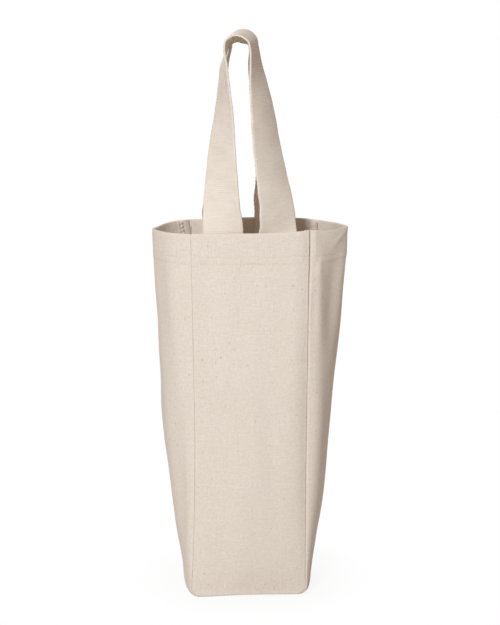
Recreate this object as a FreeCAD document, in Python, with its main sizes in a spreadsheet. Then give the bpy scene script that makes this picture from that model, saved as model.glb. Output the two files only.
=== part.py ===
"""Single-bottle carrier: a tall canvas bag with two webbing handles.

Three canvas pieces make the bag: a front and a back panel with rounded bottom corners, and one
long gusset strip that runs down the left side, under the base and up the right side. Two
overlocked seams join them, and their allowances stand inside. The base is nearly square, and the
hemmed mouth is drawn out sideways into an oval, so the gusset rounds out towards the rim. Each
handle is one strap whose two ends are sewn inside the hem; its legs turn a quarter and meet in
an arch at the top.

Frame: origin at the middle of the underside, +X to the right, -Y to the front, +Z up. Millimetres.
"""
import FreeCAD, Part
import math
import os

import Sketcher
from FreeCAD import Placement, Rotation, Vector

doc = FreeCAD.newDocument("bottle_carrier")

# Driving dimensions, each an alias in the sheet
SIZES = (
    ("panel_width", 102),  # front and back panel, seam to seam
    ("gusset_width", 112),  # gusset strip, seam to seam along the cloth
    ("bag_height", 318),  # underside to rim
    ("canvas", 0.8),  # one layer of canvas
    ("hem_depth", 25.4),  # turned hem at the rim
    ("panel_bow", 1),  # outward bow of the front and back panels
    ("corner_radius", 12.5),  # bottom corners of the front and back panels
    ("base_bulge", 6.5),  # how far the gusset stands out past its seams just above the base
    ("mouth_bulge", 33.5),  # and at the rim
    ("allowance", 8),  # width of a seam allowance
    ("seam_gap", 0.15),  # between the two pieces that a seam joins
    ("clearance", 0.25),  # between layers that lie on each other
    ("strap_width", 34),
    ("strap_thick", 2),
    ("loop_height", 166),  # rim to the middle of the strap at the top of the arch
    ("loop_radius", 13.2),  # arch at the top of a handle
    ("loop_shift", 7.4),  # the arch stands this far left of the bag's middle
    ("grip_gap", 1.2),  # between the two handles at the top
)
sheet = doc.addObject("Spreadsheet::Sheet", "Sizes")
for row, (alias, size) in enumerate(SIZES, start=1):
    sheet.set(f"A{row}", alias)
    sheet.set(f"B{row}", str(size))
    sheet.setAlias(f"B{row}", alias)
doc.recompute()


def cell(alias):
    """How an expression names one driving dimension."""
    return f"Sizes.{alias}"


def value(expression):
    """An expression's number, in millimetres."""
    return float(sheet.evalExpression(expression))


ACROSS = Vector(1, 0, 0)
DEEP = Vector(0, 1, 0)
CANVAS = cell("canvas")
HALF_WIDTH = f"({cell('panel_width')} / 2)"
RIM = cell("bag_height")
HEM_LINE = f"({RIM} - {cell('hem_depth')})"
SEAM_LINE = f"({HALF_WIDTH} + {cell('seam_gap')})"
PANEL_FOOT = f"({CANVAS} + {cell('seam_gap')})"
# The strip turns the corner a little tighter than the panels do, so that they stay inside it
TURN_RADIUS = f"({cell('corner_radius')} - 3 * {CANVAS})"

# Stations up the bag's sides: height, as an expression, and the share of the flare reached there
FLARE_SHARES = (
    (f"{RIM} * 0.16", 0.24),
    (f"{RIM} * 0.42", 0.585),
    (f"{RIM} * 0.72", 0.845),
    (HEM_LINE, 0.97),
    (RIM, 1),
)
# The gusset's outer face runs from a seam to its crown through these points, given as shares of
# the bulge and of the seams' half distance
ROUND_SHARES = ((0.52, 0.85), (0.87, 0.5), (1, 0.14))
# How much cloth a full bulge takes up: a quarter circle's length squared, less its radius squared
BULGE_TAKE_UP = (math.pi / 2) ** 2 - 1
# Middle of a strap end from the bag's middle, as a share of half the panel, and how far the back
# handle's ends sit to the left, as a share of the room beside a strap
STRAP_PLACE_SHARE = 0.45
STRAP_PLACE = f"({HALF_WIDTH} * {STRAP_PLACE_SHARE})"
BACK_SHIFT_SHARE = 0.45
BACK_SHIFT = f"(({HALF_WIDTH} - {STRAP_PLACE} - {cell('strap_width')} / 2) * {BACK_SHIFT_SHARE})"
# Seam allowances point inwards and this far round from the Y axis
SEAM_TURN_DEG = 40
SEAM_ACROSS_SHARE = math.sin(math.radians(SEAM_TURN_DEG))
SEAM_ALONG_SHARE = math.cos(math.radians(SEAM_TURN_DEG))
# Where the middle of a quarter circle lies, as a share of its radius
QUARTER_SHARE = math.sqrt(0.5)


def bulge_at(flare_share):
    """How far the gusset stands out at a station."""
    rise = f"({cell('mouth_bulge')} - {cell('base_bulge')})"
    return f"({cell('base_bulge')} + {rise} * {flare_share})"


def half_depth(bulge):
    """Half the distance between front and back seams, from the gusset's own width and its bulge."""
    half_gusset = f"({cell('gusset_width')} / 2)"
    return f"sqrt({half_gusset}^2 - {BULGE_TAKE_UP} * {bulge}^2)"


RIM_DEPTH = half_depth(bulge_at(1))


def origin_plane(body, role):
    """One of a body's own origin planes."""
    return next(f for f in body.Origin.OriginFeatures if f.Role == role)


def coordinate(sketch, geometry, point, axis, expression):
    """Ties one coordinate of a sketch point to an expression."""
    if expression == "0":
        axis_line = -2 if axis == "X" else -1
        sketch.addConstraint(Sketcher.Constraint("PointOnObject", geometry, point, axis_line))
        return
    kind = "Distance" + axis
    index = sketch.addConstraint(Sketcher.Constraint(kind, -1, 1, geometry, point, value(expression)))
    sketch.setExpression(f"Constraints[{index}]", expression)


def section_sketch(body, name, points, height, across="0", turn_deg=0):
    """A closed outline on a level plane, shifted across and turned about the Y axis."""
    sketch = outline_sketch(body, name, points, "XY_Plane")
    sketch.AttachmentOffset = Placement(Vector(), Rotation(DEEP, turn_deg))
    sketch.setExpression("AttachmentOffset.Base.x", across)
    sketch.setExpression("AttachmentOffset.Base.z", height)
    return sketch


def outline_sketch(body, name, points, plane):
    """A closed outline on one of the body's own planes.

    Each point is (x, y) as expressions. A point marked "via" is passed through by the arc that
    joins its two neighbours; other neighbours are joined by lines.
    """
    sketch = body.newObject("Sketcher::SketchObject", name)
    sketch.AttachmentSupport = [(origin_plane(body, plane), "")]
    sketch.MapMode = "FlatFace"
    place = [Vector(value(p[0]), value(p[1]), 0) for p in points]
    corners = [i for i, p in enumerate(points) if p[2:] != ("via",)]
    ends = []
    for here, there in zip(corners, corners[1:] + corners[:1]):
        middle = (here + 1) % len(points)
        if middle == there:
            edge = sketch.addGeometry(Part.LineSegment(place[here], place[there]))
            ends.append((edge, 1, 2))
            continue
        edge = sketch.addGeometry(Part.Arc(place[here], place[middle], place[there]))
        forward = sketch.getPoint(edge, 1).isEqual(place[here], 1e-6)
        ends.append((edge, 1, 2) if forward else (edge, 2, 1))
        dot = sketch.addGeometry(Part.Point(place[middle]), True)
        sketch.addConstraint(Sketcher.Constraint("PointOnObject", dot, 1, edge))
        coordinate(sketch, dot, 1, "X", points[middle][0])
        coordinate(sketch, dot, 1, "Y", points[middle][1])
    for number, corner in enumerate(corners):
        edge, start, _ = ends[number]
        before, _, end = ends[number - 1]
        sketch.addConstraint(Sketcher.Constraint("Coincident", before, end, edge, start))
        coordinate(sketch, edge, start, "X", points[corner][0])
        coordinate(sketch, edge, start, "Y", points[corner][1])
    return sketch


def ruled_loft(body, name, sketches):
    """A straight-sided loft through sketches of one topology."""
    loft = body.newObject("PartDesign::AdditiveLoft", name)
    loft.Profile = sketches[0]
    loft.Sections = [(s, "") for s in sketches[1:]]
    loft.Ruled = True
    for sketch in sketches:
        sketch.Visibility = False
    return loft


def mirrored(source, label, normal):
    """The opposite-hand twin of a piece."""
    twin = doc.addObject("Part::Mirroring", label)
    twin.Source = source
    twin.Normal = normal
    return twin


# Front and back panels, each with its turned hem and rounded bottom corners
def panel_outline(flare_share, thick):
    """Section of the front panel at a station."""
    depth = half_depth(bulge_at(flare_share))
    near = f"({HALF_WIDTH} - {thick} * {SEAM_ACROSS_SHARE / SEAM_ALONG_SHARE})"
    bow = cell("panel_bow")
    return [
        (f"-{HALF_WIDTH}", f"-{depth}"),
        ("0", f"-{depth} - {bow}", "via"),
        (HALF_WIDTH, f"-{depth}"),
        (near, f"{thick} - {depth}"),
        ("0", f"{thick} - {depth} - {bow}", "via"),
        (f"-{near}", f"{thick} - {depth}"),
    ]


def front_panel():
    """One canvas panel; the hem doubles the cloth at the top and the bottom corners are cut round."""
    cloth = doc.addObject("PartDesign::Body", "square_panel")
    walls = [
        section_sketch(cloth, f"panel_{i}", panel_outline(share, CANVAS), height)
        for i, (height, share) in enumerate(((PANEL_FOOT, 0), (TURN_RADIUS, 0)) + FLARE_SHARES[:-1])
    ]
    ruled_loft(cloth, "panel_cloth", walls)
    hems = [
        section_sketch(cloth, f"hem_{i}", panel_outline(share, f"2 * {CANVAS}"), height)
        for i, (height, share) in enumerate(FLARE_SHARES[-2:])
    ]
    ruled_loft(cloth, "panel_hem", hems)
    waste = doc.addObject("PartDesign::Body", "corner_waste")
    pad = waste.newObject("PartDesign::Pad", "corner_pad")
    pad.Profile = outline_sketch(waste, "corner_outline", corner_cut(), "XZ_Plane")
    pad.setExpression("Length", f"2 * {cell('gusset_width')}")
    pad.SideType = "Symmetric"
    panel = doc.addObject("Part::Cut", "front_panel")
    panel.Base = cloth
    panel.Tool = waste
    return panel


def corner_cut():
    """What is cut away below the panel: all outside a quarter circle at each bottom corner."""
    radius = cell("corner_radius")
    inner = f"({HALF_WIDTH} - {radius})"
    outer = f"({HALF_WIDTH} + {CANVAS})"
    high = f"({PANEL_FOOT} + {radius})"
    turn = (f"({inner} + {radius} * {QUARTER_SHARE})", f"{high} - {radius} * {QUARTER_SHARE}", "via")
    below = f"({PANEL_FOOT} - {CANVAS} / 2)"
    low = f"({PANEL_FOOT} - {CANVAS})"
    right = [(inner, below), (inner, PANEL_FOOT), turn, (HALF_WIDTH, high), (outer, high), (outer, low)]
    return right + [(f"-{x}", *rest) for x, *rest in right[::-1]]


# Gusset strip: one length of canvas down the left side, under the base and up the right side.
# Its path starts at the left rim. At each station the strip's own X axis points out of the bag.
def path_stations():
    """Place, turn about the Y axis and bulge of each station below the hems, from left to right."""
    hub = f"({SEAM_LINE} - {TURN_RADIUS})"
    right = []
    for turn_deg, bulge in ((90, "0"), (45, f"({cell('base_bulge')} / 2)"), (0, cell("base_bulge"))):
        out_share = math.cos(math.radians(turn_deg))
        down_share = math.sin(math.radians(turn_deg))
        right.append((
            f"({hub} + {TURN_RADIUS} * {out_share})",
            f"({TURN_RADIUS} * {1 - down_share})",
            turn_deg,
            bulge,
        ))
    right += [(SEAM_LINE, height, 0, bulge_at(share)) for height, share in FLARE_SHARES[:-1]]
    left = [(f"-{across}", height, 180 - turn_deg, bulge) for across, height, turn_deg, bulge in right]
    return left[::-1] + right


def strip_outline(bulge, thick):
    """Section of the strip, with its seam line at zero and its outer face bulging towards +X."""
    depth = half_depth(bulge)
    first_out, first_deep = ROUND_SHARES[0]
    flank_x = f"({bulge} * {first_out})"
    flank_y = f"({depth} * {1 - first_deep})"
    flank = f"sqrt({flank_x}^2 + {flank_y}^2)"
    mitre = f"({flank} / ({flank_y} * {SEAM_ACROSS_SHARE} + {flank_x} * {SEAM_ALONG_SHARE}))"

    def half(into):
        """Seam corner, then the round to the crown, at a depth into the cloth, on the back half."""
        points = [(
            f"-{into} * {mitre} * {SEAM_ACROSS_SHARE}",
            f"({depth} - {into} * {mitre} * {SEAM_ALONG_SHARE})",
        )]
        for out_share, deep_share in ROUND_SHARES:
            slope_x, slope_y = f"({depth} * {out_share})", f"({bulge} * {deep_share})"
            slope = f"sqrt({slope_x}^2 + {slope_y}^2)"
            points.append((
                f"{bulge} * {out_share} - {into} * {slope_x} / {slope}",
                f"({depth} * {deep_share} - {into} * {slope_y} / {slope})",
            ))
        return points

    outer, inner = half("0"), half(thick)
    front_outer = [(x, f"-{y}") for x, y in outer]
    front_inner = [(x, f"-{y}") for x, y in inner]
    return front_outer + outer[::-1] + inner + front_inner[::-1]


def gusset_strip():
    """The strip with a turned hem at each of its two ends."""
    body = doc.addObject("PartDesign::Body", "gusset_strip")
    walls = [
        section_sketch(body, f"strip_{i}", strip_outline(bulge, CANVAS), height, across, turn_deg)
        for i, (across, height, turn_deg, bulge) in enumerate(path_stations())
    ]
    ruled_loft(body, "strip_cloth", walls)
    for side, across, turn_deg in (("left", f"-{SEAM_LINE}", 180), ("right", SEAM_LINE, 0)):
        hems = [
            section_sketch(
                body,
                f"{side}_hem_{i}",
                strip_outline(bulge_at(share), f"2 * {CANVAS}"),
                height,
                across,
                turn_deg,
            )
            for i, (height, share) in enumerate(FLARE_SHARES[-2:])
        ]
        ruled_loft(body, f"{side}_hem", hems)
    return body


# Overlocked seam allowance: two layers of canvas standing inside, all round the front panel
def front_seam():
    """The seam between the front panel and the strip, from rim to rim."""
    body = doc.addObject("PartDesign::Body", "front_seam")
    start = f"(({CANVAS} * {2 + SEAM_ACROSS_SHARE} + {cell('clearance')}) / {SEAM_ALONG_SHARE})"
    stop = f"({start} + {cell('allowance')})"
    rims = [(f"-{SEAM_LINE}", RIM, 180, bulge_at(1)), (SEAM_LINE, RIM, 0, bulge_at(1))]
    sections = []
    for i, (across, height, turn_deg, bulge) in enumerate(rims[:1] + path_stations() + rims[1:]):
        depth = half_depth(bulge)
        points = [
            (
                f"{CANVAS} * {SEAM_ALONG_SHARE * side} - {reach} * {SEAM_ACROSS_SHARE}",
                f"{reach} * {SEAM_ALONG_SHARE} + {CANVAS} * {SEAM_ACROSS_SHARE * side} - {depth}",
            )
            for reach, side in ((start, -1), (start, 1), (stop, 1), (stop, -1))
        ]
        sections.append(section_sketch(body, f"seam_{i}", points, height, across, turn_deg))
    ruled_loft(body, "seam_cloth", sections)
    return body


# Handle ends: the flat stretches of strap sewn to the inside of the hem
STRAP_FACE = f"({RIM_DEPTH} - 2 * {CANVAS} - {cell('clearance')})"


def handle_end(name, middle, front):
    """One sewn strap end, inside the front or the back hem."""
    end = doc.addObject("Part::Box", name)
    end.setExpression("Length", cell("strap_width"))
    end.setExpression("Width", cell("strap_thick"))
    end.setExpression("Height", cell("hem_depth"))
    end.setExpression("Placement.Base.x", f"{middle} - {cell('strap_width')} / 2")
    far = f"{STRAP_FACE} - {cell('strap_thick')}"
    end.setExpression("Placement.Base.y", f"-{STRAP_FACE}" if front else far)
    end.setExpression("Placement.Base.z", HEM_LINE)
    return end


# Handles: straps that turn a quarter on their way up, inner edges outwards, and bend over in an arch
LEG_SHARES = (0, 0.06, 0.14, 0.25, 0.38, 0.52, 0.68, 0.84)
TURN_POWER = 0.85  # the quarter turn runs a little ahead of the height
ARCH_STEPS = 10


def strap_stations(left, right, side):
    """Middle, width direction and run of the strap at each station, from left foot to right foot.

    Left and right are the places of the two feet; side is -1 for the front handle, 1 for the back.
    """
    radius = value(cell("loop_radius"))
    foot_y = side * (value(STRAP_FACE) - value(cell("strap_thick")) / 2)
    top_y = side * (value(cell("strap_width")) + value(cell("grip_gap"))) / 2
    foot_z = value(RIM) + value(cell("clearance"))
    top = Vector(-value(cell("loop_shift")), top_y, value(RIM) + value(cell("loop_height")))
    rise = Vector(0, top_y - foot_y, top.z - foot_z).normalize()
    outward = rise.cross(ACROSS) * side
    hub = top - rise * radius
    legs = []
    for foot_x, hand in ((left, 1), (right, -1)):
        foot = Vector(foot_x, foot_y, foot_z)
        shoulder = hub - ACROSS * (radius * hand)
        run = (shoulder - foot).normalize()
        leg = []
        for share in LEG_SHARES:
            turn = math.radians(90) * share**TURN_POWER
            wide = ACROSS * (hand * math.cos(turn)) + outward * math.sin(turn)
            here = run if share else Vector(0, 0, 1)
            leg.append((foot + (shoulder - foot) * share, wide - here * wide.dot(here), here * hand))
        legs.append(leg)
    arch = []
    for step in range(ARCH_STEPS + 1):
        angle = math.pi * (1 - step / ARCH_STEPS)
        place = hub + (ACROSS * math.cos(angle) + rise * math.sin(angle)) * radius
        arch.append((place, outward, ACROSS * math.sin(angle) - rise * math.cos(angle)))
    return legs[0] + arch + legs[1][::-1]


def handle(name, shift, side):
    """A strap from foot to foot, as a loft through its cross-sections."""
    body = doc.addObject("PartDesign::Body", name)
    plane = origin_plane(body, "XY_Plane")
    offset = value(STRAP_PLACE)
    sections = []
    for i, (place, wide, run) in enumerate(strap_stations(shift - offset, shift + offset, side)):
        sketch = body.newObject("Sketcher::SketchObject", f"{name}_{i}")
        sketch.AttachmentSupport = [(plane, "")]
        sketch.MapMode = "FlatFace"
        sketch.AttachmentOffset = Placement(place, Rotation(wide, run.cross(wide), run, "ZXY"))
        rectangle(sketch, cell("strap_width"), cell("strap_thick"))
        sections.append(sketch)
    ruled_loft(body, f"{name}_strap", sections)
    return body


def rectangle(sketch, width, thick):
    """A rectangle about the sketch's origin."""
    x, y = value(width) / 2, value(thick) / 2
    corners = [Vector(-x, -y, 0), Vector(x, -y, 0), Vector(x, y, 0), Vector(-x, y, 0)]
    signs = (("-", "-"), ("", "-"), ("", ""), ("-", ""))
    for here, there in zip(corners, corners[1:] + corners[:1]):
        sketch.addGeometry(Part.LineSegment(here, there))
    for i, (sign_x, sign_y) in enumerate(signs):
        sketch.addConstraint(Sketcher.Constraint("Coincident", (i - 1) % 4, 2, i, 1))
        coordinate(sketch, i, 1, "X", f"{sign_x}{width} / 2")
        coordinate(sketch, i, 1, "Y", f"{sign_y}{thick} / 2")


# Assembly
panel = front_panel()
seam = front_seam()
pieces = [
    panel,
    mirrored(panel, "back_panel", DEEP),
    gusset_strip(),
    seam,
    mirrored(seam, "back_seam", DEEP),
    handle_end("front_handle_left_end", f"-{STRAP_PLACE}", front=True),
    handle_end("front_handle_right_end", STRAP_PLACE, front=True),
    handle_end("back_handle_left_end", f"-{STRAP_PLACE} - {BACK_SHIFT}", front=False),
    handle_end("back_handle_right_end", f"{STRAP_PLACE} - {BACK_SHIFT}", front=False),
    handle("front_handle", 0, -1),
    handle("back_handle", -value(BACK_SHIFT), 1),
]
doc.recompute()

# Every object has to be sound before anything is written
for item in doc.Objects:
    if "Invalid" in item.State or "Error" in item.State:
        raise RuntimeError(f"{item.Label} did not build: {item.State}")
for piece in pieces:
    shape = piece.Shape
    if shape.isNull() or not shape.isValid() or len(shape.Solids) != 1:
        raise RuntimeError(f"{piece.Label} is not one valid solid")

os.makedirs("parts", exist_ok=True)
for piece in pieces:
    piece.Shape.exportStep(f"parts/{piece.Label}.step")
    box = piece.Shape.BoundBox
    print(f"{piece.Label}: {piece.Shape.Volume:.0f} mm3, x {box.XMin:.1f}..{box.XMax:.1f}, "
          f"y {box.YMin:.1f}..{box.YMax:.1f}, z {box.ZMin:.1f}..{box.ZMax:.1f}")
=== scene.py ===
"""Single-bottle carrier in undyed canvas: the visual model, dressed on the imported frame."""

import math

import bpy
import numpy as np
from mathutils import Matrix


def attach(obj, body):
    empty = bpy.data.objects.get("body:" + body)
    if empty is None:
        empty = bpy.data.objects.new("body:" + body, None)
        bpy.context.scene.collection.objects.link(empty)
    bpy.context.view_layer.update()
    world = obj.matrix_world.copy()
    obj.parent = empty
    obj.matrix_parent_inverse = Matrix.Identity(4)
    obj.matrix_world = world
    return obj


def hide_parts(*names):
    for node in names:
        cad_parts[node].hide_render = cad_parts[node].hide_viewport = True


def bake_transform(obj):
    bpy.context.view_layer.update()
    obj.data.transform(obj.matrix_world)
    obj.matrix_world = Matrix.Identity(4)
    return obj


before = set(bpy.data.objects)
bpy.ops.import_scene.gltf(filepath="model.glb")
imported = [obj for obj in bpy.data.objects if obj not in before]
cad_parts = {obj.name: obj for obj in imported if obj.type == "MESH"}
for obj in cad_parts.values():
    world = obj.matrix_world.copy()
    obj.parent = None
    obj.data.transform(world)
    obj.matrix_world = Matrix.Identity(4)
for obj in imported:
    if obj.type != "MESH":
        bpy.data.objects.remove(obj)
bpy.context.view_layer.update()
bpy.ops.object.select_all(action="DESELECT")


# Gusset strip. One length of undyed cotton canvas runs down the left side, under the base and up
# the right side. It is sewn to both panels inside out and turned, so its edges roll in at the
# seams, and both of its ends are folded in for the hem.
MM = 0.001
RIM = 318.0  # underside to rim; lengths are in millimetres
CLOTH = 0.75  # thickness
RIM_FOLD = 0.95  # outer radius of the fold at the rim
HEM_DEPTH = 26.0
HEM_ROW = 20.4  # rim to the row of stitches that holds the hem
HEM_START = 2.6  # seam to where the folded layer lies free
HEM_START_LAP = 0.2  # by which its first mesh column reaches back from there
HEM_CLEAR = 1.3  # between the folded layer's end and the seam allowance
HEM_STEP = 0.38  # height of the step that the folded layer's end shows outside
HEM_STEP_HALF = 0.8
IMPRINT_FULL = 5.0  # seam to where the hem shows in full
STITCH_DENT, STITCH_DENT_HALF = 0.18, 0.8  # depth and half width of the dent along the stitches
TURN = 7.5  # radius where the strip passes under the base
GUSSET_WIDTH = 112.0
TAKE_UP = 1.39  # how much a bulge draws the front and the back seams together
STEP = 2.1  # spacing of the mesh's rows and columns
FINE_STEP = 0.75  # of the rows at the hem line
FOLD_CLEAR = 1.2  # from the fold at the rim to the next row inside
WALL_ROW = 60  # a row well up the wall, counted from the strip's end or a panel's foot
ROLL_STEPS = 7  # mesh columns round a rolled edge
ROLL_PROBE = 0.4  # run over which the cloth's direction is taken
ROLL_CLEAR = 0.3  # from a rolled edge to the next mesh column
FOLD_ANGLES = np.radians(np.linspace(0, 180, 7))  # mesh rows round the fold at the rim
PANEL_ROLL = 0.5  # radius of a panel's rolled edge
TAIL = 0.6  # what shows of an edge past its roll
BACK_ROLL = 0.9  # radius of the strip's rolled edge along the back panel
LEFT_ROLL, LEFT_FOOT_ROLL = 0.55, 0.15  # at the front left, and what it gains at the foot
RIGHT_ROLL, RIGHT_WALL_ROLL, RIGHT_TOP_ROLL = 0.7, 1.0, 1.7  # at the front right, with two gains
BASE_TWIST_DEG = 4.6
BASE_SHIFT = -4.0  # of the base to the right
BASE_TREAD = 1.6  # how far the right front corner of the base is lifted
TREAD_HEIGHT = 70.0  # at which that lift has died out
SEAM_X = 54.0  # roughly from the bag's middle to its seams at the rim
RIM_SLANT = 0.027  # rise of the rim per millimetre to the right
RIM_PEAK = 1.3  # rise of the rim at the right front seam
RIM_SAG = 1.9  # of the rim on the right
RIM_FADE = 40.0  # over which the straps above the rim lose its slant
BACK_DRAW = 10.5  # how far the back left corner is drawn out at the rim
BACK_LIFT = 0.04  # rise of the back rim per millimetre of depth


def curve_through(heights, values):
    """A smooth curve through values taken at a few heights."""
    high = np.array(heights, float)
    known = np.array(values, float)
    slope = np.gradient(known, high)

    def at(z):
        z = np.clip(z, high[0], high[-1])
        i = np.clip(np.searchsorted(high, z, side="right") - 1, 0, len(high) - 2)
        step = high[i + 1] - high[i]
        t = (z - high[i]) / step
        rise = known[i] * (2 * t**3 - 3 * t**2 + 1) + known[i + 1] * (3 * t**2 - 2 * t**3)
        return rise + step * (slope[i] * (t**3 - 2 * t**2 + t) + slope[i + 1] * (t**3 - t**2))

    return at


def ramp(x, low, high):
    """Smooth step from 0 at low to 1 at high."""
    t = np.clip((x - low) / (high - low), 0, 1)
    return t * t * (3 - 2 * t)


def dent(x, middle, width):
    """A soft bump of height 1."""
    return np.exp(-(((x - middle) / width) ** 2))


def running(points):
    """Length along a line, at each of its points."""
    return np.concatenate([[0], np.cumsum(np.linalg.norm(np.diff(points, axis=0), axis=1))])


def waves(table, across, up):
    """Faint waves of the cloth: each has a height, angles per millimetre across and up, and a start."""
    return sum(height * np.cos(a * across + b * up + start) for height, a, b, start in table)


LEVELS = (0, 18, 46, 74, 102, 129, 157, 184, 211, 238, 265, 292, 318)
left_bulge = curve_through(LEVELS, (6.6, 9.2, 15.7, 21, 25.5, 29.7, 32.4, 32.8, 34, 34.3, 35.3, 35.8, 36.3))
right_bulge = curve_through(LEVELS, (5.7, 7.6, 11.9, 16, 18.5, 20.1, 22.3, 23.7, 26, 28.1, 29.5, 31.3, 31.8))
left_seam = curve_through((0, 30, 139, 220, 318), (49.8, 48.0, 45.6, 46.9, 49.2))
right_seam = curve_through((0, 52, 140, 220, 318), (50, 49.7, 50.1, 50.9, 51.5))
right_fullness = curve_through((0, 110, 165, 205, 250, 318), (2.2, 2.3, 2.1, 1.75, 1.35, 1.2))
ELLIPSE = 2.0  # fullness of a section that is an ellipse; at 1 its sides are straight
LEFT_LOSS = 0.35  # of fullness up the left side's lower part
LEFT_TOP = (1.45, 1.25)  # fullness at the rim, front and back half
RIGHT_BACK_LOSS = 0.65
LEFT_TIP, RIGHT_TIP = -4.0, -8.0  # place in depth of a section's tip at the rim
MOUTH_START = 200.0  # height at which the sides start to take the mouth's shape
LEFT_WAVES = ((0.7, 0.13, 0.011, 0.6), (0.4, 0.21, -0.023, 2.0))
RIGHT_WAVES = ((0.4, 0.16, -0.017, 1.0), (0.3, 0.25, 0.02, 0.0))


def left_shape(z):
    """Where the left side's section has its tip, and how full its front and back halves are."""
    low = ELLIPSE - LEFT_LOSS * ramp(z, 20, 120)
    top = ramp(z, MOUTH_START, RIM)
    front, back = LEFT_TOP
    return LEFT_TIP * top, low + (front - low) * top, low + (back - low) * top


def right_shape(z):
    """The same for the right side, which is drawn nearly straight towards the rim."""
    top = ramp(z, MOUTH_START, RIM)
    return RIGHT_TIP * top, float(right_fullness(z)), ELLIPSE - RIGHT_BACK_LOSS * top


def swell(bulge, z):
    """The bulge at a height; it fades out where the strip turns under the base."""
    return bulge(z) * (1 - np.clip(1 - z / TURN, 0, 1) ** 3)


def half_depth(z):
    """Half the distance between the front and the back seams; what bulges out is missing there."""
    bulge = (swell(left_bulge, z) + swell(right_bulge, z)) / 2
    return np.sqrt((GUSSET_WIDTH / 2) ** 2 - TAKE_UP * bulge**2)


def settle(points, draw=BACK_DRAW):
    """The bag as it stands: the base a little twisted and shifted, the rim aslant and uneven."""
    p = np.array(points, float)
    x, y, z = p[..., 0], p[..., 1], p[..., 2]
    low = np.clip(1 - z / RIM, 0, 1)
    turn = np.radians(BASE_TWIST_DEG) * low**1.2
    high = np.clip(z / RIM, 0, 1) ** 6 * np.exp(-np.clip(z - RIM, 0, None) / RIM_FADE)
    slant = (RIM_SLANT * x + RIM_PEAK * dent(x, SEAM_X, 20)) * (1 - 0.7 * ramp(y, -20, 40))
    slant = slant + BACK_LIFT * np.clip(y, 0, None) * np.clip(1 - (x / SEAM_X) ** 2, 0, 1)
    sag = RIM_SAG * dent(x, 70, 9) * ramp(-y, 2, 14)
    foot = np.clip(1 - z / TREAD_HEIGHT, 0, 1) ** 2
    tread = BASE_TREAD * ramp(x, -45, 5) * ramp(-y, -20, 45) * foot
    drawn = draw * ramp(y, -2, 36) * ramp(-x, 34, 50) * high
    return np.stack(
        [
            x * np.cos(turn) - y * np.sin(turn) + BASE_SHIFT * low - drawn,
            x * np.sin(turn) + y * np.cos(turn),
            z + (slant - sag) * high + tread,
        ],
        axis=-1,
    )


def gusset_section(bulge, depth, tip, front_full, back_full):
    """Outer face of the gusset at one station, as (out, y) points from front seam to back seam."""
    angle = np.linspace(-np.pi / 2, np.pi / 2, 361)
    power = 2 / np.where(angle < 0, front_full, back_full)
    reach = np.where(angle < 0, depth + tip, depth - tip)
    out = bulge * np.clip(np.cos(angle), 0, 1) ** power
    y = tip + np.sign(angle) * reach * np.abs(np.sin(angle)) ** power
    return np.stack([out, y], axis=-1)


def unit(v):
    """A vector's direction."""
    return v / np.linalg.norm(v)


def gusset_roll(side, hand, z):
    """Radius of the strip's rolled edge, fullest beside the front panel on the right."""
    if hand < 0:
        return BACK_ROLL
    if side < 0:
        return LEFT_ROLL + LEFT_FOOT_ROLL * float(ramp(-z, -30, -6))
    wall, top = float(ramp(z, 4, 40)), float(ramp(z, 240, 290))
    return RIGHT_ROLL + RIGHT_WALL_ROLL * wall + RIGHT_TOP_ROLL * top


def rolled_end(line, along, radius, hand):
    """How one end of a section rolls in at its seam.

    Line is the section from that seam on, along its running length, and hand 1 for the front end,
    -1 for the back end. Gives the run taken up, the point where the roll starts, the directions to
    the seam and into the bag there, the middle line between strip and panel, and its angle to both.
    """
    panel_in = np.array([0.0, hand])
    take = 2 * radius
    for _ in range(4):
        start = np.array([np.interp(take, along, line[:, k]) for k in (0, 1)])
        ahead = np.array([np.interp(take + ROLL_PROBE, along, line[:, k]) for k in (0, 1)])
        toward = unit(start - ahead)
        inward = np.array([toward[1], -toward[0]]) * hand
        middle = unit(panel_in + inward)
        alpha = math.acos(np.clip(-toward @ middle, -1, 1))
        take = radius / math.tan(alpha / 2)
    return take, start, toward, inward, middle, alpha


def hem_gap(alpha):
    """Seam to the end of the folded layer, which stops at the seam allowance."""
    return 2 * RIM_FOLD / math.tan(alpha) + HEM_CLEAR


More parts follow.
